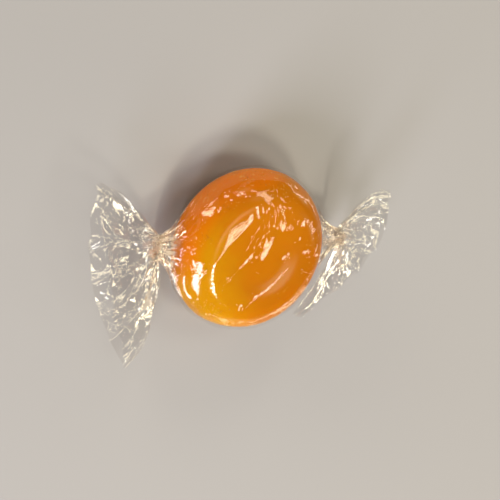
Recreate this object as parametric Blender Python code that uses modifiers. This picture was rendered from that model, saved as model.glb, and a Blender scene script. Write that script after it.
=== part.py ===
"""A butterscotch sweet in its clear twist wrapper, lying flat on one face.

Two pieces: the boiled-sugar disc, and the film that is rolled round it as an open-ended tube.
The film hugs the disc, is twisted into a rope-like neck at either side, and flares out again
past each neck into a pleated tail. Metres, +Z up, the twist axis along X.
The origin is under the middle of the disc, on the surface that the sweet lies on.
"""

import math
import random

import bpy
import numpy as np

MM = 0.001

# The boiled-sugar disc
DISC_RADIUS = 12.5 * MM
DISC_HALF_HEIGHT = 4.75 * MM
FACE_RADIUS = 8.0 * MM
DISH_RADIUS = 7.0 * MM
DISH_DEPTH = 0.4 * MM
DISH_STEPS = 4
DISC_STEPS_ROUND = 64
RIM_STEPS = 9

# The film: real film is thinner than a hair, so its wall is thickened to one that can be made
FILM_WALL = 0.3 * MM
FILM_GAP = 0.3 * MM
MID_HEIGHT = DISC_HALF_HEIGHT + FILM_GAP + FILM_WALL

# Pleats run the whole length of the film: a ridge, a slope, a furrow and a slope each
PLEATS = 12
POINTS_A_PLEAT = 4
AROUND = PLEATS * POINTS_A_PLEAT
PLEAT_SEED = 5

# Where the film leaves the disc: an angle at the disc's centre, measured from the twist axis
LEAVING_ANGLE = math.radians(24)
POCKET_RINGS = 15
SHOULDER_RINGS = 2
SHOULDER_PLEAT = 0.28 * MM

# The necks
NECK_LENGTH = 1.6 * MM
NECK_RADIUS = 1.75 * MM
NECK_FLARE = 0.35 * MM
NECK_CHANNEL = 0.4 * MM
NECK_RINGS = 5
NECK_PLEAT = 0.16 * MM
TWIST_TURNS = 0.4

# The tails
TAIL_RINGS = 8
TAIL_PLEAT = 0.75 * MM
CHANNEL_SHARE = 0.3

# The middle of each neck, and for each tail two loops of points that its pleats swing about: the
# belly loop half-way out and the loop of the cut edge, all in millimetres. A loop starts at its
# tip on the +Y side, and goes over the top to its tip on the -Y side and back underneath.
LEFT_NECK = (-15.0, 0.9, 5.3)
LEFT_BELLY = [
    (-20.9, 7.3, 6.8),
    (-23.9, 4.0, 9.6),
    (-22.7, -1.6, 9.8),
    (-18.7, -7.0, 7.2),
    (-13.6, -11.3, 3.8),
    (-15.8, -7.2, 1.7),
    (-17.6, -2.3, 1.6),
    (-18.8, 3.0, 2.5),
]
LEFT_EDGE = [
    (-27.3, 11.6, 6.2),
    (-30.0, 5.3, 10.6),
    (-27.9, -3.1, 9.8),
    (-23.4, -10.9, 7.2),
    (-16.6, -19.7, 3.2),
    (-18.9, -11.2, 1.4),
    (-21.4, -2.4, 1.4),
    (-24.3, 5.8, 2.8),
]
RIGHT_NECK = (16.2, 0.9, 5.2)
RIGHT_BELLY = [
    (17.6, 7.6, 8.8),
    (18.2, 3.8, 9.8),
    (17.8, -0.8, 8.4),
    (17.0, -4.6, 5.6),
    (16.0, -8.4, 2.7),
    (19.6, -6.0, 1.7),
    (21.2, -2.3, 1.7),
    (21.2, 2.9, 3.2),
]
RIGHT_EDGE = [
    (21.0, 10.0, 10.2),
    (20.0, 3.9, 12.0),
    (19.0, -2.8, 9.2),
    (16.6, -8.8, 4.9),
    (13.8, -13.8, 1.7),
    (20.8, -9.7, 1.4),
    (25.0, -4.9, 1.4),
    (26.4, 2.5, 3.8),
]


def clear_scene():
    """Empties the scene of whatever it opened with."""
    for obj in list(bpy.data.objects):
        bpy.data.objects.remove(obj, do_unlink=True)


def plain_material(name, colour, roughness, alpha=1.0):
    """A Principled material of one colour."""
    material = bpy.data.materials.new(name)
    material.use_nodes = True
    shader = material.node_tree.nodes["Principled BSDF"]
    shader.inputs["Base Color"].default_value = (*colour, 1.0)
    shader.inputs["Roughness"].default_value = roughness
    shader.inputs["Metallic"].default_value = 0.0
    shader.inputs["Alpha"].default_value = alpha
    return material


def finish_object(mesh, name, collection, material, sharp_degrees):
    """Puts a mesh in the collection as a named object with its material and shading."""
    obj = bpy.data.objects.new(name, mesh)
    collection.objects.link(obj)
    mesh.materials.append(material)
    mesh.shade_smooth()
    mesh.set_sharp_from_angle(angle=math.radians(sharp_degrees))
    return obj


def disc_profile():
    """The disc's half section from the top pole to the bottom pole: a shallow dish in the upper
    face, a flat lower face, and a rim that is a half ellipse between them."""
    rim = DISC_RADIUS - FACE_RADIUS
    points = [(0.0, DISC_HALF_HEIGHT - DISH_DEPTH)]
    for step in range(1, DISH_STEPS + 1):
        out = 0.5 + 0.5 * step / DISH_STEPS
        depth = DISH_DEPTH * (1 - eased(2 * out - 1))
        points.append((DISH_RADIUS * out, DISC_HALF_HEIGHT - depth))
    for step in range(2 * RIM_STEPS + 1):
        turn = math.pi * (0.5 - step / (2 * RIM_STEPS))
        points.append((FACE_RADIUS + rim * math.cos(turn), DISC_HALF_HEIGHT * math.sin(turn)))
    points.append((0.0, -DISC_HALF_HEIGHT))
    return points


def make_disc(collection):
    """The sweet itself: its profile turned about Z, resting in the film at mid height."""
    profile = disc_profile()
    mesh = bpy.data.meshes.new("candy_disc")
    edges = [(i, i + 1) for i in range(len(profile) - 1)]
    mesh.from_pydata([(x, 0.0, z) for x, z in profile], edges, [])
    material = plain_material("butterscotch", (0.75, 0.24, 0.01), 0.2)
    disc = finish_object(mesh, "candy_disc", collection, material, 40)
    turned = disc.modifiers.new("turned", "SCREW")
    turned.axis = "Z"
    turned.angle = 2 * math.pi
    turned.steps = DISC_STEPS_ROUND
    turned.render_steps = DISC_STEPS_ROUND
    turned.use_merge_vertices = True
    turned.merge_threshold = 0.00001
    turned.use_smooth_shade = True
    disc.location = (0.0, 0.0, MID_HEIGHT)
    return disc


def pocket_point(lean, roll, clearance):
    """The point of the film round the disc, that far off the sugar. Lean runs from the -X pole to
    the +X pole, and roll round the twist axis from the +Y side over the top."""
    radius, height = DISC_RADIUS + clearance, DISC_HALF_HEIGHT + clearance
    rim = radius - FACE_RADIUS
    way = np.array(
        [
            -radius * math.cos(lean),
            radius * math.sin(lean) * math.cos(roll),
            height * math.sin(lean) * math.sin(roll),
        ]
    )
    level, rise = math.hypot(way[0], way[1]), abs(way[2])
    if rise > 0 and level * height / rise <= FACE_RADIUS:
        reach = height / rise
    else:
        a = (level / rim) ** 2 + (rise / height) ** 2
        b = -2 * FACE_RADIUS * level / rim**2
        c = (FACE_RADIUS / rim) ** 2 - 1
        reach = (-b + math.sqrt(b * b - 4 * a * c)) / (2 * a)
    return way * reach + np.array([0.0, 0.0, MID_HEIGHT])


def on_loop(loop, share):
    """A point on a closed smooth curve through the loop's points, a share of the way round."""
    count = len(loop)
    place = share % 1.0 * count
    first = int(place)
    t = place - first
    p0, p1, p2, p3 = (np.array(loop[(first + i) % count]) for i in (-1, 0, 1, 2))
    bend = 2 * p0 - 5 * p1 + 4 * p2 - p3
    return 0.5 * (2 * p1 + (p2 - p0) * t + bend * t**2 + (3 * (p1 - p2) + p3 - p0) * t**3)


def eased(t):
    """Goes from 0 to 1 with a level start and end."""
    t = min(max(t, 0.0), 1.0)
    return t * t * (3 - 2 * t)


def pleat_swings():
    """How far each point round the film lies off the smooth tube: 1 on a full ridge and -1 in a
    full furrow. No two pleats are folded alike."""
    draw = random.Random(PLEAT_SEED)
    swings = []
    for _ in range(PLEATS):
        ridge, furrow = draw.uniform(0.6, 1.0), draw.uniform(0.6, 1.0)
        swings += [0.0, ridge, 0.0, -furrow]
    return np.array(swings)


def neck_circle(neck, along, radius, turn):
    """A ring of the neck's rope. Along is 0 at the disc's end of the neck and 1 at the tail's."""
    middle = np.array(neck) * MM
    outward = math.copysign(1, middle[0])
    angles = 2 * math.pi * (np.arange(AROUND) / AROUND + turn)
    ring = np.zeros((AROUND, 3))
    ring[:, 0] = middle[0] + outward * (along - 0.5) * NECK_LENGTH
    ring[:, 1] = middle[1] + radius * np.cos(angles)
    ring[:, 2] = middle[2] + radius * np.sin(angles)
    return ring


def from_middle(ring, amount):
    """The ring with each point moved that far away from the ring's own middle."""
    outward = ring - ring.mean(axis=0)
    outward[:, 0] = 0.0
    length = np.linalg.norm(outward, axis=1)[:, None]
    return ring + outward / length * np.asarray(amount)[..., None]


def across_rings(rings):
    """The unit normal at each point of a grid of rings, pointing out of the tube."""
    grid = np.array(rings)
    along = np.gradient(grid, axis=0)
    around = np.roll(grid, -1, axis=1) - np.roll(grid, 1, axis=1)
    normal = np.cross(around, along)
    normal /= np.linalg.norm(normal, axis=2)[..., None]
    outward = grid - grid.mean(axis=1)[:, None, :]
    facing = np.sign((normal * outward).sum(axis=(1, 2)))
    return normal * facing[:, None, None]


def tail_skins(neck, belly, edge, swings):
    """The outer and inner rings of one tail, from the neck out to the cut edge."""
    turn = math.copysign(TWIST_TURNS, neck[0])
    middle = neck_circle(neck, 1.0, 0.0, turn)[0]
    rope = neck_circle(neck, 1.0, NECK_RADIUS + NECK_FLARE, turn)
    shares = np.arange(AROUND) / AROUND + turn
    half_way = np.array([on_loop(belly, share) for share in shares]) * MM
    cut_edge = np.array([on_loop(edge, share) for share in shares]) * MM
    smooth = []
    for step in range(TAIL_RINGS + 1):
        s = step / TAIL_RINGS
        smooth.append(
            rope * (1 - s) * (1 - 2 * s) + half_way * 4 * s * (1 - s) + cut_edge * s * (2 * s - 1)
        )
    normals = across_rings(smooth)
    outer, inner = [], []
    for step in range(1, TAIL_RINGS + 1):
        s = step / TAIL_RINGS
        swing = NECK_PLEAT + (TAIL_PLEAT - NECK_PLEAT) * eased(s / 0.5)
        pleated = smooth[step] + normals[step] * (swings * swing)[:, None]
        opened = eased(s / CHANNEL_SHARE)
        lining = pleated - normals[step] * FILM_WALL
        channel = middle + (pleated - middle) * NECK_CHANNEL / (NECK_RADIUS + NECK_FLARE)
        outer.append(pleated)
        inner.append(channel * (1 - opened) + lining * opened)
    return outer, inner


def neck_skins(neck, swings):
    """The outer and inner rings of one neck, from the disc's end to the tail's."""
    outer, inner = [], []
    for step in range(NECK_RINGS):
        along = step / (NECK_RINGS - 1)
        turn = math.copysign(TWIST_TURNS, neck[0]) * along
        waist = NECK_RADIUS + NECK_FLARE * (2 * along - 1) ** 2
        rope = neck_circle(neck, along, waist, turn)
        outer.append(from_middle(rope, swings * NECK_PLEAT))
        inner.append(neck_circle(neck, along, NECK_CHANNEL, turn))
    return outer, inner


def pocket_skins(swings):
    """The outer and inner rings of the film round the disc, from the -X side to the +X side.
    Its pleats are ridges that die away on to the disc."""
    outer, inner = [], []
    rolls = 2 * math.pi * np.arange(AROUND) / AROUND
    for step in range(POCKET_RINGS):
        lean = LEAVING_ANGLE + (math.pi - 2 * LEAVING_ANGLE) * step / (POCKET_RINGS - 1)
        near_neck = 1 - eased((min(lean, math.pi - lean) - LEAVING_ANGLE) / LEAVING_ANGLE)
        skin = np.array([pocket_point(lean, roll, FILM_GAP + FILM_WALL) for roll in rolls])
        lining = np.array([pocket_point(lean, roll, FILM_GAP) for roll in rolls])
        ridges = np.clip(swings, 0, None) * SHOULDER_PLEAT * near_neck
        outer.append(from_middle(skin, ridges))
        inner.append(lining)
    return outer, inner


def shoulder_skins(pocket_ring, neck_ring):
    """The rings between the disc and a neck, in a hollow curve like a bottle's shoulder."""
    rings = []
    for step in range(1, SHOULDER_RINGS + 1):
        t = step / (SHOULDER_RINGS + 1)
        drawn_in = 1 - (1 - t) ** 2
        ring = pocket_ring * (1 - drawn_in) + neck_ring * drawn_in
        ring[:, 0] = pocket_ring[:, 0] * (1 - t) + neck_ring[:, 0] * t
        rings.append(ring)
    return rings


def side_skins(neck, belly, edge, pocket_ring, swings):
    """The outer or inner rings of a whole side, from the shoulder out to the cut edge, as a pair."""
    pairs = []
    both_necks = neck_skins(neck, swings)
    both_tails = tail_skins(neck, belly, edge, swings)
    for ring, rope, tail in zip(pocket_ring, both_necks, both_tails):
        pairs.append(shoulder_skins(ring, rope[0]) + rope + tail)
    return pairs


def loft_closed(rings):
    """A closed surface through rings that come back to the first one."""
    points = np.concatenate(rings)
    around, count = len(rings[0]), len(rings)
    faces = []
    for ring in range(count):
        here, after = ring * around, (ring + 1) % count * around
        for k in range(around):
            n = (k + 1) % around
            faces.append((here + k, here + n, after + n, after + k))
    mesh = bpy.data.meshes.new("wrapper")
    mesh.from_pydata([tuple(map(float, p)) for p in points], [], faces)
    return mesh


def make_wrapper(collection):
    """The film: one tube open at both cut edges, its outer skin from edge to edge and its inner
    skin back again."""
    swings = pleat_swings()
    pocket_out, pocket_in = pocket_skins(swings)
    ends_left = (pocket_out[0], pocket_in[0])
    ends_right = (pocket_out[-1], pocket_in[-1])
    left_out, left_in = side_skins(LEFT_NECK, LEFT_BELLY, LEFT_EDGE, ends_left, swings)
    right_out, right_in = side_skins(RIGHT_NECK, RIGHT_BELLY, RIGHT_EDGE, ends_right, swings)
    outer = left_out[::-1] + pocket_out + right_out
    inner = left_in[::-1] + pocket_in + right_in
    mesh = loft_closed(outer + inner[::-1])
    material = plain_material("clear_film", (0.9, 0.88, 0.84), 0.1, alpha=0.3)
    return finish_object(mesh, "wrapper", collection, material, 30)


def main():
    clear_scene()
    collection = bpy.data.collections.new("butterscotch_candy")
    bpy.context.scene.collection.children.link(collection)
    make_disc(collection)
    make_wrapper(collection)


main()
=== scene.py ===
import math
import random

import bpy
import numpy as np
from mathutils import Matrix, Vector


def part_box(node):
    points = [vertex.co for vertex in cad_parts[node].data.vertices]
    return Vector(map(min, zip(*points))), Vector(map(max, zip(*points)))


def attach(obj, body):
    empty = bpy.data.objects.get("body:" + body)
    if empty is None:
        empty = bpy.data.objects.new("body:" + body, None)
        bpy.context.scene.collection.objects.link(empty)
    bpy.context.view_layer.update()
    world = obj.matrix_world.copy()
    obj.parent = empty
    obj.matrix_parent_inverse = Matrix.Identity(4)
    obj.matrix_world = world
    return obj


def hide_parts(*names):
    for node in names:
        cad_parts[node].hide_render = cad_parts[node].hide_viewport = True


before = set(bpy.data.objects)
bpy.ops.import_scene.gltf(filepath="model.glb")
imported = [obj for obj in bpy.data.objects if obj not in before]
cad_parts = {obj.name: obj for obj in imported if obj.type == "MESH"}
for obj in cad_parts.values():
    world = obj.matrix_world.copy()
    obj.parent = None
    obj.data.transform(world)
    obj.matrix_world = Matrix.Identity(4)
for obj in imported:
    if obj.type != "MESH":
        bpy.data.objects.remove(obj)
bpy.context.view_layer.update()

# ---------------------------------------------------------------------------------------------
# The sweet: a disc of boiled sugar and butter, dropped hot into a round mould and pressed, which
# leaves a soft rim, a shallow dish in the upper face and a faint seam round the middle. It is
# translucent amber, with light and shade painted into its colour: a paler golden painted glow where
# light gathers in it, a deeper orange painted glow round the far wall, and painted shade on the far side.

MM = 0.001
disc_low, disc_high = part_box("candy_disc")
DISC_RADIUS = (disc_high[0] - disc_low[0]) / 2
HALF_HEIGHT = (disc_high[2] - disc_low[2]) / 2
MID_HEIGHT = (disc_high[2] + disc_low[2]) / 2
FACE_RADIUS = 8.0 * MM
DISH_RADIUS = 7.0 * MM
DISH_DEPTH = 0.4 * MM
SEAM_HEIGHT = 0.07 * MM
SEAM_WIDTH = 0.22 * MM
UNEVENNESS = 0.09 * MM
SWELLS = 1.7
RIM_ANGLE = math.radians(66)
DISC_SEGMENTS = 224
DISC_RINGS = 112


class Wire:
    """A node's socket that sums can be written with: each operator adds its Math node."""

    def __init__(self, tree, socket=None):
        self.tree = tree
        self.socket = socket

    def feed(self, node, sockets):
        """Gives each named socket of a node its value, or links the wire that feeds it."""
        for name, value in sockets.items():
            if isinstance(value, Wire):
                self.tree.links.new(value.socket, node.inputs[name])
            else:
                node.inputs[name].default_value = value

    def node(self, kind, settings=None, sockets=None, out=0):
        """Adds a node: its settings first, then the value or the wire of each socket."""
        made = self.tree.nodes.new(kind)
        for name, value in (settings or {}).items():
            setattr(made, name, value)
        self.feed(made, sockets or {})
        return Wire(self.tree, made.outputs[out])

    def out(self, name):
        """Another output of the node that this wire comes from."""
        return Wire(self.tree, self.socket.node.outputs[name])

    def sum(self, operation, *values):
        """A Math node of that operation, on the values in their order."""
        return self.node("ShaderNodeMath", {"operation": operation}, dict(enumerate(values)))

    def __add__(self, other):
        return self.sum("ADD", self, other)

    def __radd__(self, other):
        return self.sum("ADD", other, self)

    def __sub__(self, other):
        return self.sum("SUBTRACT", self, other)

    def __rsub__(self, other):
        return self.sum("SUBTRACT", other, self)

    def __mul__(self, other):
        return self.sum("MULTIPLY", self, other)

    def __rmul__(self, other):
        return self.sum("MULTIPLY", other, self)

    def __truediv__(self, other):
        return self.sum("DIVIDE", self, other)

    def __pow__(self, other):
        return self.sum("POWER", self, other)

    def rise(self, start, end):
        """Goes smoothly from 0 at the start to 1 at the end."""
        return self.node(
            "ShaderNodeMapRange",
            {"interpolation_type": "SMOOTHSTEP"},
            {"Value": self, "From Min": start, "From Max": end},
        )

    def mixed(self, first, second):
        """A colour that goes from the first to the second as this wire goes from 0 to 1."""
        return self.node("ShaderNodeMix", {"data_type": "RGBA"}, {0: self, 6: first, 7: second}, 2)


def new_tree(name, sizes):
    """A geometry tree with a named input for each size, and the wires that start at those inputs."""
    tree = bpy.data.node_groups.new(name, "GeometryNodeTree")
    kinds = {float: "NodeSocketFloat", int: "NodeSocketInt", bpy.types.Material: "NodeSocketMaterial"}
    tree.interface.new_socket("Geometry", in_out="INPUT", socket_type="NodeSocketGeometry")
    for size, value in sizes.items():
        tree.interface.new_socket(size, in_out="INPUT", socket_type=kinds[type(value)])
    tree.interface.new_socket("Geometry", in_out="OUTPUT", socket_type="NodeSocketGeometry")
    start = tree.nodes.new("NodeGroupInput")
    return tree, {socket.name: Wire(tree, socket) for socket in start.outputs if socket.name}


def end_tree(tree, geometry, material):
    """Ends a tree: instances are realized, and the material is put on."""
    real = geometry.node("GeometryNodeRealizeInstances", None, {"Geometry": geometry})
    coated = real.node("GeometryNodeSetMaterial", None, {"Geometry": real, "Material": material})
    end = tree.nodes.new("NodeGroupOutput")
    coated.feed(end, {"Geometry": coated})


def run_tree(name, tree, sizes, start=None):
    """Runs a tree on a mesh and keeps what comes out as a plain mesh, in an object of that name."""
    carrier = bpy.data.objects.new(name + "_carrier", start or bpy.data.meshes.new(name + "_start"))
    bpy.context.scene.collection.objects.link(carrier)
    modifier = carrier.modifiers.new(name, "NODES")
    modifier.node_group = tree
    for item in tree.interface.items_tree:
        if item.in_out == "INPUT" and item.name in sizes:
            modifier[item.identifier] = sizes[item.name]
    graph = bpy.context.evaluated_depsgraph_get()
    mesh = bpy.data.meshes.new_from_object(carrier.evaluated_get(graph))
    bpy.data.objects.remove(carrier, do_unlink=True)
    mesh.name = name
    piece = bpy.data.objects.new(name, mesh)
    bpy.context.scene.collection.objects.link(piece)
    return piece


def srgb(red, green, blue):
    """A colour given as it looks on a screen, 0 to 255, as the linear colour that shaders take."""
    shares = (value / 255 for value in (red, green, blue))
    linear = (s / 12.92 if s <= 0.04045 else ((s + 0.055) / 1.055) ** 2.4 for s in shares)
    return (*linear, 1.0)


def new_material(name):
    """A material with its Principled shader, and a first wire to build its tree from."""
    material = bpy.data.materials.new(name)
    material.use_nodes = True
    return material, material.node_tree.nodes["Principled BSDF"], Wire(material.node_tree)


# The way in which each painted tone of light or shade lies from the disc's middle, and how far out
# it starts and is full that way, in millimetres. The wall's painted glow also comes in over a ring, between
# two radii.
PAINTED_GLOW_WAY, PAINTED_GLOW_REACH = (-0.94, -0.34), (1.5, 9.5)
PAINTED_SHADE_WAY, PAINTED_SHADE_REACH = (0.95, -0.25), (1.0, 12.0)
PAINTED_WALL_GLOW_WAY, PAINTED_WALL_GLOW_REACH, PAINTED_WALL_GLOW_RING = (-0.72, 0.69), (4.0, 9.0), (9.6, 12.0)


def boiled_sugar():
    """Translucent amber, with light and shade painted into its colour across the disc: a golden
    painted glow on the side where light pools, a deep orange painted glow in the wall beyond that,
    and painted shade as brown amber on the far side."""
    # The golden colour is a painted glow, standing in for light that pools in the sugar.
    amber, painted_glow = srgb(200, 120, 2), srgb(207, 145, 3)
    # The far-side colour is painted shade: darker where less light reaches the sugar.
    # The wall colour is a painted glow, brighter than the sugar to make up for light that reaches that wall
    # little.
    painted_wall_glow, painted_shade = srgb(229, 126, 0), srgb(185, 107, 2)
    material, shader, start = new_material("boiled_sugar")
    place = start.node("ShaderNodeTexCoord", out="Object")
    apart = place.node("ShaderNodeSeparateXYZ", None, {"Vector": place})
    x, y = apart.out("X") / MM, apart.out("Y") / MM
    from_axis = (x * x + y * y) ** 0.5
    drift = place.node("ShaderNodeTexNoise", None, {"Vector": place, "Scale": 180.0, "Detail": 3.0})
    sway = (drift - 0.5) * 5.0
    # Painted light: the sugar is coloured golden on the side where light pools in it.
    painted_glow_mask = (x * PAINTED_GLOW_WAY[0] + y * PAINTED_GLOW_WAY[1] + sway).rise(*PAINTED_GLOW_REACH)
    # Painted shade: the far side is coloured a darker brown amber, away from the light.
    painted_shade_mask = (x * PAINTED_SHADE_WAY[0] + y * PAINTED_SHADE_WAY[1] + sway).rise(*PAINTED_SHADE_REACH)
    # Painted light: the wall on this side is coloured a brighter deep orange, standing in for light carried
    # through the sugar to it.
    painted_wall_glow_mask = (x * PAINTED_WALL_GLOW_WAY[0] + y * PAINTED_WALL_GLOW_WAY[1] + sway * 0.5).rise(*PAINTED_WALL_GLOW_REACH)
    painted_wall_glow_mask = painted_wall_glow_mask * from_axis.rise(*PAINTED_WALL_GLOW_RING)
    colour = painted_shade_mask.mixed(amber, painted_shade)
    colour = painted_glow_mask.mixed(colour, painted_glow)
    colour = painted_wall_glow_mask.mixed(colour, painted_wall_glow)
    grain = place.node("ShaderNodeTexNoise", None, {"Vector": place, "Scale": 2600.0, "Detail": 4.0})
    relief = {"Strength": 0.18, "Distance": 0.04 * MM, "Height": grain + drift * 3.0}
    bump = start.node("ShaderNodeBump", None, relief)
    looks = {
        "Base Color": colour,
        "Roughness": 0.1 + grain * 0.14,
        "Normal": bump,
        "Subsurface Weight": 0.55,
        "Subsurface Radius": (1.0, 0.34, 0.06),
        "Subsurface Scale": 3.5 * MM,
        "IOR": 1.5,
        "Specular IOR Level": 0.1,
    }
    start.feed(shader, looks)
    return material


disc_sizes = {
    "Radius": DISC_RADIUS,
    "Half Height": HALF_HEIGHT,
    "Middle Height": MID_HEIGHT,
    "Face Radius": FACE_RADIUS,
    "Dish Radius": DISH_RADIUS,
    "Dish Depth": DISH_DEPTH,
    "Seam Height": SEAM_HEIGHT,
    "Seam Width": SEAM_WIDTH,
    "Unevenness": UNEVENNESS,
    "Swells": SWELLS,
    "Rim Angle": RIM_ANGLE,
    "Segments": DISC_SEGMENTS,
    "Rings": DISC_RINGS,
    "Sugar": boiled_sugar(),
}
tree, size = new_tree("pressed_disc", disc_sizes)

# The disc starts as a ball of radius 1. A point's lean, its angle above the ball's middle, becomes
# its turn round the rim, and past the rim its way inward over a face. TINY keeps sums from a
# division by zero.
TINY = 1e-9
ball = size["Radius"].node(
    "GeometryNodeMeshUVSphere", None, {"Segments": size["Segments"], "Rings": size["Rings"]}
)
place = ball.node("GeometryNodeInputPosition")
apart = place.node("ShaderNodeSeparateXYZ", None, {"Vector": place})
x, y, z = apart.out("X"), apart.out("Y"), apart.out("Z")
from_axis = (x * x + y * y + TINY) ** 0.5
lean = z.sum("ARCSINE", z.node("ShaderNodeClamp", None, {"Value": z, "Min": -1.0, "Max": 1.0}))
turn = lean / size["Rim Angle"]
turn = turn.node("ShaderNodeClamp", None, {"Value": turn, "Min": -1.0, "Max": 1.0})
turn = turn * (math.pi / 2)
inward = (lean.sum("ABSOLUTE", lean) - size["Rim Angle"]) / (math.pi / 2 - size["Rim Angle"])
inward = inward.sum("MAXIMUM", inward, 0.0)
rim = size["Radius"] - size["Face Radius"]
seam = turn.sum("EXPONENT", (turn * size["Half Height"] / size["Seam Width"]) ** 2.0 * -1.0)
reach = size["Face Radius"] * (1.0 - inward) + rim * turn.sum("COSINE", turn) + seam * size["Seam Height"]
dish = 1.0 - reach.rise(size["Dish Radius"] * 0.5, size["Dish Radius"])
upper_half = lean.rise(0.0, 0.1)
height = size["Half Height"] * turn.sum("SINE", turn) - dish * size["Dish Depth"] * upper_half
swell = place.node("ShaderNodeTexNoise", None, {"Vector": place, "Scale": size["Swells"], "Detail": 2.0})
uneven = (swell - 0.5) * 2.0 * size["Unevenness"]
spread = (reach + uneven * (1.0 - inward)) / from_axis
moved = x.node(
    "ShaderNodeCombineXYZ",
    None,
    {"X": x * spread, "Y": y * spread, "Z": height + size["Middle Height"] + uneven * 0.4},
)
formed = moved.node("GeometryNodeSetPosition", None, {"Geometry": ball, "Position": moved})
formed = formed.node("GeometryNodeSetShadeSmooth", None, {"Geometry": formed})
end_tree(tree, formed, size["Sugar"])
sweet = run_tree("boiled_sweet", tree, disc_sizes)
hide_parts("candy_disc")
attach(sweet, "root")

# ---------------------------------------------------------------------------------------------
# The blisters: air that was beaten into the hot sugar and came up against the mould, left in the
# skin of the disc as fine beads. They are thickest round the rim, where the sugar set first.

SMALLEST_BEAD = 0.04 * MM
LARGEST_BEAD = 0.09 * MM
BEADS_PER_SQUARE_METRE = 6.0e6
CALM_RADIUS = 5.5 * MM
BEAD_SEED = 11


def clear_sugar():
    """The thin wall of a bubble: paler than the sugar round it, and glossy."""
    pale, deep = srgb(245, 188, 80), srgb(194, 115, 9)
    material, shader, start = new_material("bubble_sugar")
    place = start.node("ShaderNodeTexCoord", out="Object")
    patch = place.node("ShaderNodeTexNoise", None, {"Vector": place, "Scale": 900.0, "Detail": 2.0})
    colour = patch.rise(0.4, 0.6).mixed(deep, pale)
    start.feed(shader, {"Base Color": colour, "Roughness": 0.06 + patch * 0.1})
    return material


bead_sizes = {
    "Density": BEADS_PER_SQUARE_METRE,
    "Smallest": SMALLEST_BEAD,
    "Largest": LARGEST_BEAD,
    "Calm Radius": CALM_RADIUS,
    "Radius": DISC_RADIUS,
    "Seed": BEAD_SEED,
    "Sugar": clear_sugar(),
}
tree, size = new_tree("sugar_blisters", bead_sizes)
place = size["Density"].node("GeometryNodeInputPosition")
crowd = place.node("ShaderNodeTexNoise", None, {"Vector": place, "Scale": 220.0, "Detail": 1.0})
apart = place.node("ShaderNodeSeparateXYZ", None, {"Vector": place})
from_axis = (apart.out("X") ** 2.0 + apart.out("Y") ** 2.0) ** 0.5
by_rim = from_axis.rise(size["Calm Radius"], size["Radius"])
points = place.node(
    "GeometryNodeDistributePointsOnFaces",
    {"distribute_method": "RANDOM"},
    {
        "Mesh": size["Geometry"],
        "Density": size["Density"] * crowd.rise(0.4, 0.7) * by_rim,
        "Seed": size["Seed"],
    },
)
bead = points.node("GeometryNodeMeshIcoSphere", None, {"Radius": 1.0, "Subdivisions": 1})
bead = bead.node("GeometryNodeSetShadeSmooth", None, {"Geometry": bead})
scale = points.node(
    "FunctionNodeRandomValue",
    {"data_type": "FLOAT"},
    {2: size["Smallest"], 3: size["Largest"], "Seed": size["Seed"]},
    1,
)
beads = points.node(
    "GeometryNodeInstanceOnPoints", None, {"Points": points, "Instance": bead, "Scale": scale}
)
end_tree(tree, beads, size["Sugar"])
blisters = run_tree("sugar_blisters", tree, bead_sizes, sweet.data)
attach(blisters, "root")

# ---------------------------------------------------------------------------------------------
# The wrapper: one sheet of clear cellulose film rolled round the sweet, drawn tight over it,
# twisted shut at both sides and left to spring open in two crushed tails. It is glossy, all but
# colourless where it lies single, and faintly milky where its layers are gathered in the necks.

FILM_COLUMNS = 480
SHARES = np.arange(FILM_COLUMNS) / FILM_COLUMNS
POCKET_ROWS = 170
SHOULDER_ROWS = 14
NECK_ROWS = 12
TAIL_ROWS = 150
CLEARANCE = 0.40 * MM
DEEPEST_DIP = 0.24 * MM
FLOOR_CLEARANCE = 0.06 * MM
LEAVING_ANGLE = math.radians(24)
FILM_ROUND = 64 * MM
NECK_LENGTH = 1.6 * MM
NECK_FLARE = 0.5 * MM
TWIST_TURNS = 0.4

# The pleats of each size: how high they stand, in millimetres, where the film leaves the sweet, in
# the neck, and at the start and the edge of the tail; the share of the tail in which they change;
# and how far in over the sweet they reach, as a share of the angle at which the film leaves it
MAIN_PLEATS = (0.3, 0.2, 0.2, 0.7, 0.5, 0.6)
MID_PLEATS = (0.16, 0.25, 0.3, 0.06, 0.8, 0.6)
FINE_PLEATS = (0.07, 0.09, 0.1, 0.02, 0.7, 0.8)
PLEAT_SWAY = 0.012

# The middle of each neck and its half width along Y and Z, and for each tail the loop that its
# film runs through half-way out and the loop of its cut edge, from the tip on the +Y side over
# the top. All in millimetres.
LEFT_NECK = (-15.0, 0.9, 5.3), (1.35, 0.6)
LEFT_BELLY = [
    (-20.9, 7.3, 6.8),
    (-23.9, 4.0, 9.6),
    (-22.7, -1.6, 9.8),
    (-18.7, -7.0, 7.2),
    (-13.6, -11.3, 3.8),
    (-15.8, -7.2, 1.7),
    (-17.6, -2.3, 1.6),
    (-18.8, 3.0, 2.5),
]
LEFT_EDGE = [
    (-27.3, 11.6, 6.2),
    (-30.0, 5.3, 10.6),
    (-27.9, -3.1, 9.8),
    (-23.4, -10.9, 7.2),
    (-16.6, -19.7, 3.2),
    (-18.9, -11.2, 1.4),
    (-21.4, -2.4, 1.4),
    (-24.3, 5.8, 2.8),
]
RIGHT_NECK = (16.2, 0.9, 5.2), (0.75, 0.55)
RIGHT_BELLY = [
    (17.6, 7.6, 8.8),
    (18.2, 3.8, 9.8),
    (17.8, -0.8, 8.4),
    (17.0, -4.6, 5.6),
    (16.0, -8.4, 2.7),
    (19.6, -6.0, 1.7),
    (21.2, -2.3, 1.7),
    (21.2, 2.9, 3.2),
]
RIGHT_EDGE = [
    (21.0, 10.0, 10.2),
    (20.0, 3.9, 12.0),
    (19.0, -2.8, 9.2),
    (16.6, -8.8, 4.9),
    (13.8, -13.8, 1.7),
    (20.8, -9.7, 1.4),
    (25.0, -4.9, 1.4),
    (26.4, 2.5, 3.8),
]

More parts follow.
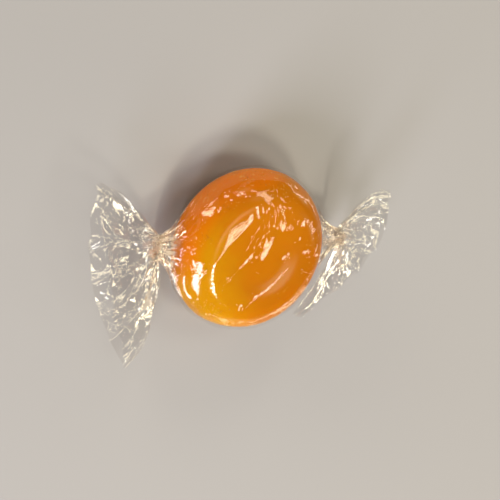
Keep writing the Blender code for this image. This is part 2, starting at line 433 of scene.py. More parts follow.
# Folds that the film has kept: the height of each, the widths of its left and right flanks, and
# points that its crest runs through, in millimetres. Each point moves to the nearest film. With a
# sharpness of 1 the flanks are flat, and above it they are hollow.
FOLD_SHARPNESS = 1.2
FOLDS_ON_SWEET = [
    (0.52, (3.0, 3.6), [(-8.7, 0.4, 10.4), (-7.0, 2.7, 10.5), (-4.6, 5.1, 10.5), (-2.7, 7.1, 10.5)]),
    (0.06, (0.4, 0.4), [(-7.5, 0.2, 10.5), (-5.9, 1.4, 10.5), (-4.4, 2.6, 10.5)]),
    (0.07, (0.4, 0.4), [(-4.1, 8.8, 10.2), (-2.6, 8.8, 10.3), (-1.0, 8.9, 10.4), (0.5, 9.3, 10.3)]),
    (0.06, (0.4, 0.4), [(-2.8, 10.5, 9.5), (-1.1, 10.7, 9.6), (0.7, 10.5, 9.8)]),
    (0.10, (0.3, 0.4), [(-2.0, 8.5, 10.4), (-2.1, 7.2, 10.5), (-2.2, 5.3, 10.5), (-2.9, 3.8, 10.5)]),
    (0.08, (0.3, 0.4), [(-2.9, 3.8, 10.5), (-3.8, 2.4, 10.5)]),
    (0.08, (0.3, 0.3), [(-1.2, 5.5, 10.5), (-1.2, 4.0, 10.5), (-1.9, 2.9, 10.5)]),
    (0.09, (0.3, 0.4), [(-0.7, 4.6, 10.5), (-0.6, 3.3, 10.5), (-1.2, 2.0, 10.5), (-2.1, 1.9, 10.5)]),
    (0.08, (0.3, 0.3), [(-2.5, 4.0, 10.5), (-3.2, 2.7, 10.5), (-3.7, 1.9, 10.5)]),
    (0.08, (0.3, 0.4), [(2.6, 8.5, 10.4), (1.7, 6.8, 10.5), (1.1, 5.5, 10.5)]),
    (0.07, (0.3, 0.3), [(0.7, 5.9, 10.5), (0.1, 4.6, 10.5), (-0.6, 3.6, 10.5)]),
    (0.13, (0.3, 1.0), [(-10.2, 7.4, 7.0), (-9.6, 8.2, 7.2), (-8.7, 8.7, 7.8)]),
    (-0.08, (0.3, 0.3), [(-10.3, 7.3, 7.1), (-9.5, 7.7, 8.0), (-8.8, 8.1, 8.3)]),
    (0.06, (1.0, 0.3), [(-10.6, 6.4, 7.7), (-9.9, 6.6, 8.4), (-9.2, 6.6, 9.1)]),
    (0.15, (0.8, 0.3), [(-9.1, 6.8, 9.1), (-8.4, 7.2, 9.4), (-7.8, 7.9, 9.3), (-6.8, 8.8, 9.3)]),
    (0.07, (0.5, 0.5), [(-8.2, 8.7, 8.4), (-7.5, 8.6, 9.0), (-6.8, 9.2, 9.0)]),
    (0.10, (0.3, 0.3), [(-6.3, 10.4, 8.1), (-5.9, 10.0, 8.9), (-5.6, 9.8, 9.2)]),
    (0.10, (0.3, 0.3), [(-4.5, 11.1, 8.4), (-3.9, 10.7, 9.1), (-4.0, 9.9, 9.6), (-4.8, 9.5, 9.7)]),
    (0.10, (0.3, 0.3), [(-4.1, 12.1, 6.5), (-3.6, 11.9, 7.5)]),
    (0.18, (0.4, 0.4), [(-12.2, 1.8, 7.7), (-11.7, 1.3, 8.6), (-11.2, 1.9, 9.1)]),
    (0.18, (0.4, 0.4), [(-12.4, 0.0, 7.7), (-11.8, -0.2, 8.6), (-11.5, -1.0, 8.8)]),
    (0.15, (0.4, 0.4), [(-11.2, 3.2, 8.7), (-11.6, 2.1, 8.7)]),
    (0.25, (0.4, 0.4), [(-14.3, 0.3, 6.6), (-13.4, -0.6, 6.9), (-12.6, -1.2, 7.3)]),
    (0.25, (0.4, 0.4), [(-13.4, -2.0, 6.3), (-12.5, -2.7, 7.0)]),
    (0.12, (0.4, 0.4), [(-12.0, -2.8, 7.8), (-11.7, -4.4, 7.4), (-11.0, -5.7, 7.6), (-10.4, -6.4, 8.0)]),
    (0.07, (0.7, 1.8), [(-0.5, -6.4, 10.5), (1.4, -5.1, 10.5), (3.2, -3.5, 10.5), (4.6, -1.9, 10.5)]),
    (0.08, (0.4, 0.4), [(4.9, -7.3, 10.4), (6.5, -6.2, 10.4), (7.6, -4.8, 10.4)]),
    (0.10, (0.6, 0.6), [(7.4, 8.9, 8.8), (6.5, 7.4, 10.1), (6.1, 5.1, 10.5)]),
    (0.10, (0.8, 0.8), [(7.5, 3.6, 10.5), (8.8, 4.9, 10.0)]),
    (0.05, (0.4, 0.4), [(-1.3, 0.5, 10.5), (-1.1, 0.3, 10.5)]),
    (0.05, (0.35, 0.35), [(-1.0, 1.9, 10.5), (-0.8, 1.7, 10.5)]),
    (0.05, (0.35, 0.35), [(-0.1, 4.0, 10.5), (-0.1, 3.8, 10.5)]),
    (0.05, (0.35, 0.35), [(-3.8, -7.2, 10.5), (-3.6, -7.2, 10.5)]),
    (0.05, (0.35, 0.35), [(-2.2, -7.9, 10.5), (-2.2, -8.1, 10.5)]),
]
FOLDS_ON_LEFT_TAIL = [
    (0.40, (0.5, 0.5), [(-28.1, 10.9, 7.4), (-26.7, 9.8, 7.9), (-25.2, 8.9, 8.0), (-23.7, 8.1, 8.0)]),
    (0.35, (0.5, 0.5), [(-23.7, 8.1, 8.0), (-21.8, 4.7, 8.6), (-20.2, 2.3, 8.4), (-19.0, 0.9, 8.2)]),
    (0.30, (0.4, 0.4), [(-24.7, 9.7, 7.1), (-23.6, 8.8, 7.4), (-22.5, 7.3, 8.0)]),
    (0.30, (0.4, 0.4), [(-21.7, 6.7, 7.8), (-20.0, 5.7, 7.4), (-17.9, 3.9, 6.8), (-16.4, 2.2, 6.5)]),
    (0.30, (0.5, 0.5), [(-29.2, 3.0, 10.8), (-28.6, 3.8, 10.8), (-27.8, 4.4, 10.6), (-26.3, 4.5, 10.3)]),
    (0.35, (0.5, 0.5), [(-26.5, 3.9, 10.4), (-26.7, 1.9, 10.7), (-24.9, -0.4, 10.4), (-23.8, -2.8, 9.9)]),
    (-0.25, (0.5, 0.5), [(-25.4, 5.4, 9.7), (-23.9, 4.7, 9.4), (-22.0, 4.7, 8.7)]),
    (0.30, (0.4, 0.4), [(-17.8, 0.1, 7.6), (-18.8, -0.8, 8.2), (-19.6, -1.8, 8.5)]),
    (0.30, (0.4, 0.4), [(-22.9, 0.1, 9.9), (-21.8, -0.9, 9.5), (-20.4, -1.8, 8.9)]),
    (0.40, (0.5, 0.8), [(-19.9, -2.0, 8.6), (-19.9, -3.8, 8.4), (-20.0, -5.1, 8.2), (-19.5, -6.7, 7.6)]),
    (0.40, (0.7, 0.7), [(-25.3, -1.3, 10.4), (-25.7, -2.3, 10.3), (-26.1, -3.6, 9.9)]),
    (0.40, (0.6, 0.6), [(-25.3, -4.5, 9.7), (-24.1, -5.5, 9.3), (-23.1, -6.7, 8.7), (-22.3, -7.9, 8.1)]),
    (0.30, (0.4, 0.4), [(-25.3, -8.0, 8.3), (-24.5, -8.0, 8.3), (-23.8, -7.9, 8.4)]),
    (-0.30, (0.4, 0.4), [(-24.6, -9.2, 7.9), (-23.5, -9.5, 7.7), (-22.5, -10.2, 7.3)]),
    (0.30, (0.5, 0.5), [(-22.3, -11.1, 7.0), (-21.1, -11.7, 6.7), (-20.0, -11.5, 6.5)]),
    (0.30, (0.4, 0.4), [(-22.0, -8.7, 7.8), (-20.0, -10.5, 6.8), (-18.0, -12.2, 5.8), (-17.8, -13.2, 5.5)]),
    (0.30, (0.5, 0.5), [(-18.1, -16.9, 4.7), (-17.2, -16.6, 4.5), (-16.1, -16.3, 4.2)]),
    (0.40, (0.6, 0.6), [(-17.1, -8.4, 6.3), (-16.3, -8.1, 6.0), (-15.6, -7.9, 5.6)]),
    (0.40, (0.5, 0.5), [(-17.9, -9.4, 6.4), (-17.4, -8.8, 6.3), (-18.0, -7.9, 6.7), (-16.8, -6.7, 6.4)]),
    (0.35, (0.5, 0.5), [(-17.8, -4.9, 7.1), (-16.5, -4.1, 6.5)]),
    (-0.30, (0.5, 0.5), [(-14.7, -5.9, 5.2), (-14.8, -7.8, 5.1), (-15.2, -9.3, 5.3)]),
]
FOLDS_ON_RIGHT_TAIL = [
    (0.35, (0.4, 0.4), [(15.0, 1.3, 6.4), (17.0, -0.6, 5.5), (17.1, -1.7, 6.0), (17.1, -3.7, 5.9)]),
    (0.30, (0.5, 0.5), [(16.5, -6.9, 4.7), (16.9, -5.8, 5.3), (17.1, -4.6, 5.8)]),
    (0.35, (0.4, 0.4), [(17.2, -3.7, 6.1), (17.6, -3.6, 7.2), (17.8, -3.1, 7.8), (17.9, -2.0, 8.3)]),
    (0.30, (0.4, 0.4), [(17.3, 2.7, 7.2), (17.7, 2.2, 8.5), (18.0, 2.1, 9.3)]),
    (0.30, (0.4, 0.4), [(17.6, -1.8, 7.7), (17.6, -0.2, 8.1), (17.6, 1.0, 8.3)]),
    (0.30, (0.5, 0.5), [(17.3, 1.3, 7.3), (17.7, 1.0, 8.5)]),
    (0.35, (0.4, 0.4), [(17.1, 3.4, 7.2), (17.6, 5.4, 9.3), (18.2, 6.1, 10.3), (18.9, 6.4, 11.1)]),
    (0.30, (0.4, 0.4), [(17.3, 6.6, 9.0), (17.6, 7.5, 9.5), (18.2, 7.7, 10.5), (18.9, 7.5, 11.1)]),
    (0.35, (0.5, 0.5), [(19.8, 9.7, 10.3), (19.2, 8.7, 11.0), (19.1, 7.2, 11.2)]),
    (0.40, (0.6, 0.6), [(18.2, -0.3, 9.2), (18.5, 0.5, 9.8), (18.9, 0.3, 10.2)]),
    (-0.30, (0.4, 0.4), [(17.6, 3.3, 8.5), (18.2, 3.6, 9.7), (18.6, 4.6, 10.6)]),
]

# Where the film is drawn smoothest: the share of its creases that is left there, how far round
# the place that reaches, and the place, in millimetres
SMOOTH_PLACES = [
    (0.0, 5.2, (-10.4, -3.0, 9.4)),
    (0.4, 3.6, (-5.7, 4.4, 10.5)),
    (0.3, 2.6, (-8.0, 1.5, 10.4)),
    (0.1, 7.5, (2.0, -3.8, 10.5)),
    (0.15, 2.8, (-9.6, 7.3, 8.0)),
    (0.2, 5.0, (-22.8, 1.0, 9.6)),
    (0.3, 6.0, (-23.8, -4.0, 9.4)),
    (0.3, 6.0, (-20.6, -4.0, 1.4)),
    (0.5, 4.5, (-25.5, 6.0, 9.6)),
]

# Where the film is crumpled in small creases: their slope, how far round that reaches, the place
CRUMPLED_PLACES = [
    (0.18, 5.4, (-0.3, 6.6, 10.5)),
    (0.12, 2.6, (-11.8, 2.2, 8.6)),
    (0.10, 3.2, (8.0, 5.5, 10.0)),
    (0.08, 2.5, (-3.0, -7.4, 10.5)),
]

# Lines along which the film lies in close pleats and looks milky, in millimetres: how far that
# reaches to each side, and the points of the line. The share is how milky it is on the line.
MILKY_SHARE = 0.8
MILKY_LINES = [
    (2.2, [(-14.6, 1.2, 6.0), (-17.4, 1.8, 6.9)]),
    (3.0, [(-15.6, 0.0, 5.9), (-16.6, -4.0, 6.4), (-16.4, -9.0, 5.8)]),
    (2.0, [(15.0, 1.3, 6.2), (16.8, -0.6, 5.8), (17.1, -3.7, 5.9)]),
]


def eased(t):
    """Goes from 0 to 1 with a level start and end."""
    t = np.clip(t, 0.0, 1.0)
    return t * t * (3 - 2 * t)


def on_loop(loop, shares):
    """Points on a closed smooth curve through the loop's points, at shares of the way round."""
    knots = np.array(loop) * MM
    place = shares % 1.0 * len(knots)
    first = place.astype(int)
    t = (place - first)[:, None]
    p0, p1, p2, p3 = (knots[(first + i) % len(knots)] for i in (-1, 0, 1, 2))
    bend = 2 * p0 - 5 * p1 + 4 * p2 - p3
    return 0.5 * (2 * p1 + (p2 - p0) * t + bend * t**2 + (3 * (p1 - p2) + p3 - p0) * t**3)


def hugging(lean):
    """A ring of the film over the sweet: where rays from its middle meet its rounded rim or its
    flat faces. Lean is the ring's angle from the -X pole of the sweet."""
    roll = 2 * math.pi * SHARES
    radius, height = DISC_RADIUS + CLEARANCE, HALF_HEIGHT + CLEARANCE
    rim = radius - FACE_RADIUS
    forward = np.full(FILM_COLUMNS, -radius * math.cos(lean))
    sideways = radius * math.sin(lean) * np.cos(roll)
    upward = height * math.sin(lean) * np.sin(roll)
    level, rise = np.hypot(forward, sideways), np.abs(upward)
    a = (level / rim) ** 2 + (rise / height) ** 2
    b = -2 * FACE_RADIUS * level / rim**2
    c = (FACE_RADIUS / rim) ** 2 - 1
    rounded = (-b + np.sqrt(np.maximum(b * b - 4 * a * c, 0))) / (2 * a)
    flat = height / np.maximum(rise, TINY)
    reach = np.where(level * height <= FACE_RADIUS * rise, flat, rounded)
    return np.stack([forward, sideways, upward], 1) * reach[:, None] + (0, 0, MID_HEIGHT)


def rope(neck, along, turn):
    """A ring of a twisted neck. Along is 0 at the sweet's end of it and 1 at the tail's."""
    middle, half_widths = np.array(neck[0]) * MM, np.array(neck[1]) * MM
    reach = half_widths + NECK_FLARE * (2 * along - 1) ** 2
    angle = 2 * math.pi * (SHARES + turn)
    forward = np.full(FILM_COLUMNS, math.copysign((along - 0.5) * NECK_LENGTH, middle[0]))
    return middle + np.stack([forward, reach[0] * np.cos(angle), reach[1] * np.sin(angle)], 1)


def side_rows(neck, belly, edge, pocket_end):
    """The rows of one side, from the sweet out to the cut edge, each with its zone and its place
    in that zone from 0 to 1."""
    turn = math.copysign(TWIST_TURNS, neck[0][0])
    first_rope, last_rope = rope(neck, 0.0, 0.0), rope(neck, 1.0, turn)
    rows = []
    for step in range(1, SHOULDER_ROWS):
        t = step / SHOULDER_ROWS
        drawn_in = 1 - (1 - t) ** 2
        row = pocket_end * (1 - drawn_in) + first_rope * drawn_in
        row[:, 0] = pocket_end[:, 0] * (1 - t) + first_rope[:, 0] * t
        rows.append(("shoulder", t, row))
    for step in range(NECK_ROWS):
        along = step / (NECK_ROWS - 1)
        rows.append(("neck", along, rope(neck, along, turn * along)))
    # Each line down the tail is a curve from the neck, through the half-way loop, to the cut edge
    half_way, cut_edge = on_loop(belly, SHARES + turn), on_loop(edge, SHARES + turn)
    for step in range(1, TAIL_ROWS + 1):
        s = step / TAIL_ROWS
        row = last_rope * (1 - s) * (1 - 2 * s) + half_way * 4 * s * (1 - s) + cut_edge * s * (2 * s - 1)
        rows.append(("tail", s, row))
    return rows


leans = np.linspace(LEAVING_ANGLE, math.pi - LEAVING_ANGLE, POCKET_ROWS)
pocket_rows = []
for lean in leans:
    edgewise = (min(lean, math.pi - lean) - LEAVING_ANGLE) / LEAVING_ANGLE
    pocket_rows.append(("pocket", edgewise, hugging(lean)))
left_rows = side_rows(LEFT_NECK, LEFT_BELLY, LEFT_EDGE, pocket_rows[0][2])
right_rows = side_rows(RIGHT_NECK, RIGHT_BELLY, RIGHT_EDGE, pocket_rows[-1][2])
rows = left_rows[::-1] + pocket_rows + right_rows
zones = np.array([zone for zone, _, _ in rows])
steps = np.array([step for _, step, _ in rows])
smooth = np.array([row for _, _, row in rows])

# Where each point of the film lies on the sheet: down its length, from 0 to 1, and across it,
# which is the share of the way round
strides = np.linalg.norm(np.diff(smooth, axis=0), axis=2).mean(axis=1)
FILM_LENGTH = strides.sum()
DOWN = np.repeat((np.append(0, np.cumsum(strides)) / FILM_LENGTH)[:, None], FILM_COLUMNS, axis=1)
ACROSS = np.repeat(SHARES[None, :], len(rows), axis=0)

# The way that the film faces at each point, which is outwards
around = np.roll(smooth, -1, axis=1) - np.roll(smooth, 1, axis=1)
normals = np.cross(around, np.gradient(smooth, axis=0))
normals /= np.linalg.norm(normals, axis=2)[..., None]
middle_row = len(rows) // 2
from_middle = smooth[middle_row] - (0, 0, MID_HEIGHT)
if (normals[middle_row] * from_middle).sum() < 0:
    normals = -normals


def by_zone(tail, neck, shoulder, pocket):
    """A value for each row of the film, as a column, from what it is in each zone."""
    conditions = [zones == "tail", zones == "neck", zones == "shoulder"]
    return np.select(conditions, [tail, neck, shoulder], pocket)[:, None]


def pleat_height(at_sweet, in_neck, at_start, at_edge, change, reach):
    """How high the pleats of one size stand in each row, in metres."""
    tail = at_start + (at_edge - at_start) * eased(steps / change)
    shoulder = at_sweet + (in_neck - at_sweet) * steps
    pocket = at_sweet * (1 - eased(steps / reach))
    return MM * by_zone(tail, in_neck, shoulder, pocket)


def zigzag(seed, pleats):
    """Pleats round the film as uneven teeth: a function from shares of the way round to heights."""
    draw = np.random.default_rng(seed)
    heights = draw.uniform(0.45, 1.0, 2 * pleats) * np.tile([1, -1], pleats)
    places = (np.arange(2 * pleats) + draw.uniform(-0.3, 0.3, 2 * pleats)) / (2 * pleats)
    return lambda shares: np.interp(shares % 1.0, places, heights, period=1)


def rolled(seed, pleats):
    """Evenly spaced pleats, each a ridge and a furrow: a function like that of zigzag."""
    draw = random.Random(seed)
    heights = []
    for _ in range(pleats):
        ridge, furrow = draw.uniform(0.6, 1.0), draw.uniform(0.6, 1.0)
        heights += [0.0, ridge, 0.0, -furrow]
    places = np.arange(len(heights)) / len(heights)
    return lambda shares: np.interp(shares % 1.0, places, heights, period=1)


def wander(seed, along, around):
    """A smooth random field over the film, -1 to 1, with that many swells along and round it."""
    knots = np.random.default_rng(seed).uniform(-1, 1, (along + 2, around))
    u, v = DOWN * along, ACROSS * around
    i, j = u.astype(int), v.astype(int)
    a, b = eased(u - i), eased(v - j)
    near = knots[i, j % around] * (1 - b) + knots[i, (j + 1) % around] * b
    far = knots[i + 1, j % around] * (1 - b) + knots[i + 1, (j + 1) % around] * b
    return near * (1 - a) + far * a


def creased(seed, count, shortest, longest):
    """Sharp creases that run straight for a while and cross each other, as in crumpled film. The
    heights are for a slope of 1; shortest and longest are the spacings of the creases."""
    draw = np.random.default_rng(seed)
    total = np.zeros(ACROSS.shape)
    for number in range(count):
        spacing = draw.uniform(shortest, longest)
        heading = draw.uniform(0, 2 * math.pi)
        rounds = round(math.cos(heading) * FILM_ROUND / spacing)
        bend = wander(seed + number, along=16, around=12) * 0.35
        phase = ACROSS * rounds + DOWN * FILM_LENGTH * math.sin(heading) / spacing
        phase += bend + draw.uniform()
        wave = np.abs(phase % 1.0 * 4 - 2) - 1
        here_and_there = eased(wander(seed + 50 + number, along=18, around=13) * 1.4 + 0.5)
        total += wave * here_and_there * spacing / 4
    return total


def fold_heights(points, faces_out):
    """How far the folds lift each point of the film, given the way that the film faces there."""
    lift = np.zeros(points.shape[:2])
    for height, flanks, crest in FOLDS_ON_SWEET + FOLDS_ON_LEFT_TAIL + FOLDS_ON_RIGHT_TAIL:
        ends = []
        for end in np.array(crest) * MM:
            gaps = ((points - end) ** 2).sum(2)
            ends.append(points[np.unravel_index(gaps.argmin(), gaps.shape)])
        widest = max(flanks) * MM
        near = (points > np.min(ends, axis=0) - widest) & (points < np.max(ends, axis=0) + widest)
        near = near.all(2)
        spot, outward = points[near], faces_out[near]
        share = np.full(len(spot), np.inf)
        for start, end in zip(ends[:-1], ends[1:]):
            way = end - start
            t = np.clip((spot - start) @ way / max(way @ way, TINY), 0, 1)
            aside = spot - start - t[:, None] * way
            on_left = (np.cross(way, aside) * outward).sum(1) > 0
            width = np.where(on_left, flanks[0], flanks[1]) * MM
            share = np.minimum(share, np.linalg.norm(aside, axis=1) / width)
        lift[near] += height * MM * np.clip(1 - share, 0, 1) ** FOLD_SHARPNESS
    return lift


big_slope = by_zone(tail=0.03 + 0.09 * eased(steps * 2), neck=0.0, shoulder=0.03, pocket=0.035)
small_slope = by_zone(tail=0.01 + 0.02 * eased(steps), neck=0.0, shoulder=0.03, pocket=0.035)
sway = wander(seed=31, along=26, around=14) * PLEAT_SWAY
mid_share = 0.35 + 0.65 * eased(wander(seed=41, along=16, around=24) + 0.5)
fine_share = eased(wander(seed=42, along=30, around=40) + 0.4)

# Over the sweet the main pleats only rise, and nothing dips far towards the sugar
over_sweet = (zones == "pocket")[:, None]
swing = rolled(seed=5, pleats=12)(ACROSS + sway * 0.5)
swing = np.where(over_sweet, np.clip(swing, 0, None), swing)
lift = (
    pleat_height(*MAIN_PLEATS) * swing
    + pleat_height(*MID_PLEATS) * zigzag(seed=52, pleats=29)(ACROSS + sway) * mid_share
    + pleat_height(*FINE_PLEATS) * zigzag(seed=53, pleats=71)(ACROSS + sway) * fine_share
)
lift += big_slope * creased(seed=60, count=7, shortest=4 * MM, longest=9 * MM)
lift += small_slope * creased(seed=160, count=7, shortest=1.5 * MM, longest=4 * MM)
for left_over, reach, place in SMOOTH_PLACES:
    lift *= left_over + (1 - left_over) * eased(np.linalg.norm(smooth / MM - place, axis=2) / reach)
crumple = np.zeros(ACROSS.shape)
for slope, reach, place in CRUMPLED_PLACES:
    fades = 1 - eased(np.linalg.norm(smooth / MM - place, axis=2) / reach)
    crumple = np.maximum(crumple, slope * fades)
lift += crumple * creased(seed=275, count=7, shortest=1.1 * MM, longest=2.8 * MM)
lift += fold_heights(smooth, normals)
lift = np.where(over_sweet, np.maximum(lift, -DEEPEST_DIP), lift)
points = smooth + normals * lift[..., None]
points[..., 2] = np.maximum(points[..., 2], FLOOR_CLEARANCE)

# What the film's material reads: how many layers lie on each other, and how far it is gathered,
# both from 0 to 1
layers = by_zone(tail=0.2, neck=1.0, shoulder=0.25 + 0.75 * steps, pocket=0.0)
layers = np.repeat(layers, FILM_COLUMNS, axis=1)
fanned_out = np.clip(1 - steps / 0.4, 0, 1) ** 1.6
gathered = by_zone(tail=fanned_out, neck=1.0, shoulder=eased(steps * 2), pocket=0.0)
gathered = np.repeat(gathered, FILM_COLUMNS, axis=1)
for reach, line in MILKY_LINES:
    for start, end in zip(np.array(line[:-1]), np.array(line[1:])):
        way = end - start
        t = np.clip((smooth / MM - start) @ way / (way @ way), 0, 1)
        apart = np.linalg.norm(smooth / MM - start - t[..., None] * way, axis=2)
        gathered = np.maximum(gathered, MILKY_SHARE * eased(1.3 - apart * 1.3 / reach))


def clear_film():
    """Clear film: it lets most light straight through, and mirrors the rest, more so where it lies
    in several layers. Where it is gathered it goes milky, as light scatters between the layers."""
    white, milk = srgb(253, 252, 250), srgb(246, 229, 214)
    material, shader, start = new_material("clear_film")
    tree = material.node_tree
    place = start.node("ShaderNodeTexCoord", out="Object")
    gathered = start.node("ShaderNodeAttribute", {"attribute_name": "gathered"}, out="Fac")
    layers = start.node("ShaderNodeAttribute", {"attribute_name": "layers"}, out="Fac")
    cloud = place.node("ShaderNodeTexNoise", None, {"Vector": place, "Scale": 700.0, "Detail": 4.0})
    creases = place.node("ShaderNodeTexNoise", None, {"Vector": place, "Scale": 1500.0, "Detail": 2.0})
    crease = 1.0 - (creases - 0.5).sum("ABSOLUTE", creases - 0.5) * 6.0
    milky = gathered * (0.3 + cloud.rise(0.4, 0.6) * 0.7)
    colour = milky.rise(0.1, 0.8).mixed(white, milk)
    relief = {"Strength": 0.15, "Distance": 0.06 * MM, "Height": crease}
    bump = start.node("ShaderNodeBump", None, relief)
    facing = start.node("ShaderNodeLayerWeight", None, {"Blend": 0.5, "Normal": bump}, "Facing")
    head_on, at_a_slant = 0.05, facing**14.0 * 0.7
    share = head_on + layers * (0.12 + facing**5.0 * 0.8) + at_a_slant + milky * 0.55
    share = share.node("ShaderNodeClamp", None, {"Value": share, "Max": 0.92})
    looks = {
        "Base Color": colour,
        "Metallic": 1.0 - milky * 0.9,
        "Roughness": 0.02 + cloud * 0.04,
        "Normal": bump,
    }
    start.feed(shader, looks)
    through = start.node("ShaderNodeBsdfTransparent", None, {"Color": (0.97, 0.962, 0.95, 1.0)})
    mirrored = Wire(tree, shader.outputs["BSDF"])
    mix = start.node("ShaderNodeMixShader", None, {0: share, 1: through, 2: mirrored})
    start.feed(tree.nodes["Material Output"], {"Surface": mix})
    return material


# The sheet is cut into three meshes where the shoulders meet the necks, and they share the rows
# of points at the cuts
film_material = clear_film()
body_start = len(left_rows) - SHOULDER_ROWS + 1
body_end = body_start + 2 * SHOULDER_ROWS + POCKET_ROWS - 2
stretches = [
    ("film_left_tail", 0, body_start),
    ("film_over_sweet", body_start - 1, body_end + 1),
    ("film_right_tail", body_end, len(rows)),
]
for name, first, last in stretches:
    count = last - first
    index = np.arange(count * FILM_COLUMNS).reshape(count, FILM_COLUMNS)
    beside = np.roll(index, -1, axis=1)
    faces = np.stack([index[:-1], beside[:-1], beside[1:], index[1:]], axis=-1).reshape(-1, 4)
    mesh = bpy.data.meshes.new(name)
    mesh.from_pydata(points[first:last].reshape(-1, 3).tolist(), [], faces.tolist())
    mesh.shade_smooth()
    mesh.materials.append(film_material)
    for label, values in (("gathered", gathered), ("layers", layers)):
        attribute = mesh.attributes.new(label, "FLOAT", "POINT")
        attribute.data.foreach_set("value", values[first:last].ravel().astype(np.float32))
    film = bpy.data.objects.new(name, mesh)
    bpy.context.scene.collection.objects.link(film)
    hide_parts("wrapper")
    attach(film, "root")

# ---------------------------------------------------------------------------------------------
# The floor: a wide sheet of matt pale card that the sweet lies on, under the studio's lamps. It
# belongs to the stage and not to the sweet.

FLOOR_SIZE = 3.0


def pale_card():
    """Matt pale card with the faintest unevenness of tone."""
    light, dim = srgb(169, 167, 176), srgb(164, 162, 171)
    material, shader, start = new_material("pale_card")
    place = start.node("ShaderNodeTexCoord", out="Object")
    tone = place.node("ShaderNodeTexNoise", None, {"Vector": place, "Scale": 9.0, "Detail": 2.0})
    start.feed(shader, {"Base Color": tone.mixed(light, dim), "Roughness": 0.75})
    return material


half = FLOOR_SIZE / 2
floor_mesh = bpy.data.meshes.new("floor")
corners = [(-half, -half, 0), (half, -half, 0), (half, half, 0), (-half, half, 0)]
floor_mesh.from_pydata(corners, [], [(0, 1, 2, 3)])
floor_mesh.materials.append(pale_card())
floor = bpy.data.objects.new("floor", floor_mesh)
bpy.context.scene.collection.objects.link(floor)

# ---------------------------------------------------------------------------------------------
# The camera: it looks down on the disc from beyond its left end, tilted and rolled so that the
# twist axis runs level across the picture.

PICTURE_SIZE = 500
PIXELS_PER_MM = 6.62
DISC_CENTRE_PIXEL = (247.1, 248.05)
CAMERA_DISTANCE = 300 * MM
SENSOR_WIDTH = 36.0
NEAREST_SEEN = 10 * MM
DISC_TILT = math.radians(38.3)
TILT_DIRECTION = math.radians(-35.0)
AXIS_SLOPE = math.radians(3.4)

# The disc's own axes as the camera sees them: how far each runs to the right, up, and towards it
up_axis = Vector((
    math.sin(DISC_TILT) * math.cos(TILT_DIRECTION),
    math.sin(DISC_TILT) * math.sin(TILT_DIRECTION),
    math.cos(DISC_TILT),
))
across = Vector((math.cos(AXIS_SLOPE), math.sin(AXIS_SLOPE), 0))
across.z = -(across.x * up_axis.x + across.y * up_axis.y) / up_axis.z
across.normalize()
deep = up_axis.cross(across)
seen = Matrix((across, deep, up_axis))
camera_right, camera_up, camera_back = seen.col[0], seen.col[1], seen.col[2]
off_x = (PICTURE_SIZE / 2 - DISC_CENTRE_PIXEL[0]) / PIXELS_PER_MM * MM
off_y = (PICTURE_SIZE / 2 - DISC_CENTRE_PIXEL[1]) / PIXELS_PER_MM * MM
target = Vector((0, 0, MID_HEIGHT)) + camera_right * off_x - camera_up * off_y
camera_data = bpy.data.cameras.new("camera")
camera_data.sensor_width = SENSOR_WIDTH
camera_data.lens = SENSOR_WIDTH * CAMERA_DISTANCE / (PICTURE_SIZE / PIXELS_PER_MM * MM)
camera_data.clip_start = NEAREST_SEEN
camera = bpy.data.objects.new("camera", camera_data)
turned = Matrix((camera_right, camera_up, camera_back)).transposed().to_4x4()
camera.matrix_world = Matrix.Translation(target + camera_back * CAMERA_DISTANCE) @ turned
bpy.context.scene.collection.objects.link(camera)
bpy.context.scene.camera = camera

# ---------------------------------------------------------------------------------------------
# The lamps: soft boxes over the table and low strips round it, which give the film something
# bright to mirror on every side. The room itself is almost dark.

ROOM_COLOUR = (0.95, 0.97, 1.0, 1.0)
ROOM_LIGHT = 0.06
WHITE, WARM = (1.0, 1.0, 0.98), (1.0, 0.92, 0.66)

# How many layers of clear film a ray of light may pass through
FILM_LAYERS_PASSED = 32

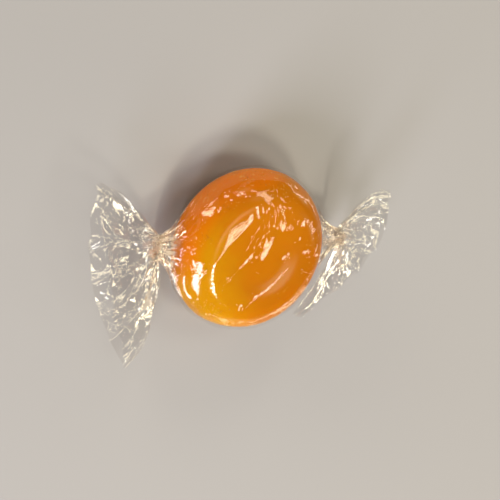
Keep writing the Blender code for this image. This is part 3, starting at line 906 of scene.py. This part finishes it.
# Each lamp's colour, the direction it stands in, seen from the sweet, its distance, its width and
# height, the way that its height runs, and its power, in metres and watts
LAMPS = [
    ("standing_strip", WHITE, (-0.56, -0.66, 0.46), 0.55, (0.14, 0.28), (-0.23, 0.68, 0.70), 2.5),
    ("short_strip", WARM, (0.11, -0.55, 0.83), 0.55, (0.05, 0.10), (0.0, 1.0, 0.4), 1.0),
    ("top_box", WARM, (0.33, -0.14, 0.93), 0.6, (0.15, 0.17), (0.7, 0.7, 0.0), 1.1),
    ("back_fill", WARM, (0.41, 0.46, 0.78), 0.8, (0.28, 0.20), (0.0, 0.0, 1.0), 1.05),
    ("low_back", WARM, (-0.02, 0.92, 0.38), 0.7, (0.18, 0.14), (0.0, 0.0, 1.0), 1.05),
    ("side_fill", WARM, (-0.73, 0.67, 0.19), 0.6, (0.24, 0.15), (0.0, 0.0, 1.0), 1.25),
    ("far_strip", WARM, (0.82, -0.14, 0.55), 0.7, (0.12, 0.12), (0.0, 0.0, 1.0), 0.5),
    ("front_strip", WARM, (0.34, -0.92, 0.13), 0.6, (0.40, 0.07), (0.0, 0.0, 1.0), 0.56),
    ("corner_strip", WARM, (0.74, -0.64, 0.20), 0.6, (0.24, 0.07), (0.0, 0.0, 1.0), 0.45),
    ("right_strip", WARM, (0.92, 0.36, 0.12), 0.6, (0.20, 0.08), (0.0, 0.0, 1.0), 0.45),
]
for name, colour, direction, distance, (width, height), height_runs, power in LAMPS:
    lamp_data = bpy.data.lights.new(name, "AREA")
    lamp_data.shape = "RECTANGLE"
    lamp_data.size = width
    lamp_data.size_y = height
    lamp_data.energy = power
    lamp_data.color = colour
    lamp = bpy.data.objects.new(name, lamp_data)
    back = Vector(direction).normalized()
    sideways = Vector(height_runs).cross(back).normalized()
    upward = back.cross(sideways)
    facing = Matrix((sideways, upward, back)).transposed().to_4x4()
    lamp.matrix_world = Matrix.Translation(target + back * distance) @ facing
    bpy.context.scene.collection.objects.link(lamp)

world = bpy.data.worlds.new("studio")
world.use_nodes = True
room = {"Color": ROOM_COLOUR, "Strength": ROOM_LIGHT}
Wire(world.node_tree).feed(world.node_tree.nodes["Background"], room)
bpy.context.scene.world = world
bpy.context.scene.view_settings.view_transform = "Standard"
bpy.context.scene.cycles.transparent_max_bounces = FILM_LAYERS_PASSED
